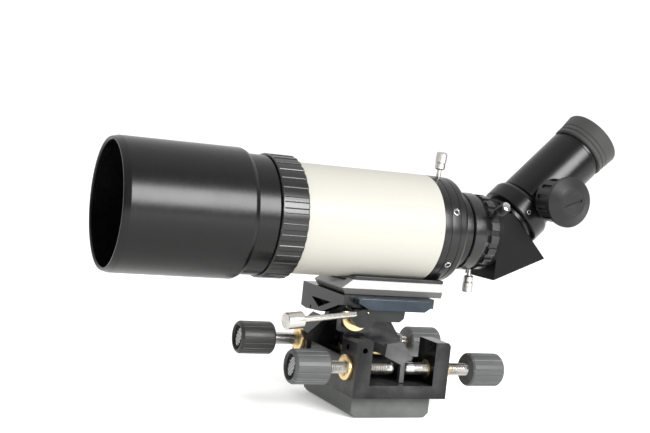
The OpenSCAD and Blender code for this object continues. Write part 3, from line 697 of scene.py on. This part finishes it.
PLAIN = {
    "objective_cell": (BLACK, 0), "cell_ring": (MATT, 0.2), "crown_lens": (LENS, 0), "lens_spacer": (MATT, 0),
    "flint_lens": (LENS, 0), "front_sleeve": (MATT, 0), "main_tube": (IVORY, 0), "tube_baffles": (MATT, 0),
    "rear_cell_screws": (CHROME, 0.2), "clamp_collar": (BLACK_RIB, 0.25), "lock_washer": (BRASS, 0.3),
    "diagonal_spigot": (BLACK_TURNED, 0), "prism_housing": (MATT, 0.5), "housing_covers": (MATT, 0.35),
    "roof_prism": (LENS, 0), "eyepiece_socket": (BLACK, 0), "eyepiece_barrel": (CHROME, 0.2),
    "field_lens": (LENS, 0), "reticle": (LENS, 0), "eye_lens": (LENS, 0), "lamp_stub": (PLASTIC, 0.3),
    "lamp": (LAMP_RED, 0), "dimmer_dial": (PLASTIC, 0.3), "battery_cap": (PLASTIC, 0.3),
    "battery": (CHROME, 0.2), "tube_shoe": (GREY, 0.35), "dovetail_bar": (BRIGHT, 0.4),
    "saddle_bracket": (GREY, 0.5),
    "saddle_rail": (BLUE, 0.6), "ledge_screws": (GREY_DARK, 0.15), "tilt_pins": (STEEL, 0.2),
    "azimuth_yoke": (GREY_DARK, 0.5), "azimuth_tongue": (TONGUE, 0.4), "swing_base": (FRONT_BLACK, 0.6),
    "thrust_ring": (BRASS, 0.15), "swing_pin": (GREY_DARK, 0.4), "foot_block": (FOOT, 1.2),
}
for node, (material, width) in PLAIN.items():
    machined(node, material, width)


# ---------------------------------------------------------------- stage
def make_stage():
    bpy.ops.mesh.primitive_plane_add(size=14, location=(0, 0, cad_low.z - 0.0005))
    floor = bpy.context.object
    floor.name = "floor"
    m = Nodes("pale_floor")
    soft = m.noise(m.place(), 6, 3)
    m.link(m.ramp(soft, [(0.3, (0.90, 0.90, 0.89)), (0.7, (0.93, 0.93, 0.92))]), m.shader.inputs["Base Color"])
    m.shader.inputs["Roughness"].default_value = 0.9
    m.shader.inputs["Emission Color"].default_value = (1, 1, 0.99, 1)
    m.shader.inputs["Emission Strength"].default_value = 0.28
    floor.data.materials.append(m.material)


def area_light(name, at, aim, size, power, tall=None):
    data = bpy.data.lights.new(name, "AREA")
    data.energy = power
    data.shape = "RECTANGLE"
    data.size = size
    data.size_y = tall or size
    lamp = bpy.data.objects.new(name, data)
    bpy.context.scene.collection.objects.link(lamp)
    lamp.location = at
    lamp.rotation_euler = (Vector(aim) - Vector(at)).to_track_quat("-Z", "Y").to_euler()


WORLD_DIM, WORLD_BRIGHT = 0.12, 1.1
KEY_PLACE, KEY_AIM = (0.36, -1.42, 0.76), (0, 0, 0.1)
KEY_WIDTH, KEY_HEIGHT, KEY_POWER = 0.95, 0.75, 50


def make_lights():
    """A studio, bright behind and above the object and dimmer on the camera's side, with a large soft box."""
    world = bpy.data.worlds.new("studio")
    world.use_nodes = True
    tree = world.node_tree
    split = tree.nodes.new("ShaderNodeSeparateXYZ")
    tree.links.new(tree.nodes.new("ShaderNodeTexCoord").outputs["Generated"], split.inputs[0])
    lean = tree.nodes.new("ShaderNodeMath")
    lean.operation = "MULTIPLY_ADD"
    lean.inputs[1].default_value = 0.6
    tree.links.new(split.outputs[2], lean.inputs[0])
    tree.links.new(split.outputs[1], lean.inputs[2])
    ramp = tree.nodes.new("ShaderNodeMapRange")
    ramp.inputs["From Min"].default_value = -0.55
    ramp.inputs["From Max"].default_value = 0.45
    ramp.inputs["To Min"].default_value = WORLD_DIM
    ramp.inputs["To Max"].default_value = WORLD_BRIGHT
    tree.links.new(lean.outputs[0], ramp.inputs["Value"])
    shine = tree.nodes["Background"]
    shine.inputs["Color"].default_value = (1, 1, 0.995, 1)
    tree.links.new(ramp.outputs[0], shine.inputs["Strength"])
    bpy.context.scene.world = world
    area_light("key", KEY_PLACE, KEY_AIM, KEY_WIDTH, KEY_POWER, KEY_HEIGHT)


CAMERA_PLACE = Vector((-0.34930, -0.64782, 0.16248))
CAMERA_RIGHT = Vector((0.90120, -0.41990, 0.10729))
CAMERA_UP = Vector((-0.07246, 0.09808, 0.99254))
CAMERA_LENS = 62.585


def make_camera():
    """The photo's own viewpoint, as solved from the tube's outline."""
    data = bpy.data.cameras.new("photo")
    data.sensor_width = 36
    data.lens = CAMERA_LENS
    camera = bpy.data.objects.new("photo", data)
    bpy.context.scene.collection.objects.link(camera)
    axes = Matrix((CAMERA_RIGHT, CAMERA_UP, CAMERA_RIGHT.cross(CAMERA_UP))).transposed().to_4x4()
    camera.matrix_world = Matrix.Translation(CAMERA_PLACE) @ axes
    bpy.context.scene.camera = camera


make_stage()
make_lights()
make_camera()
bpy.context.scene.view_settings.view_transform = "Standard"
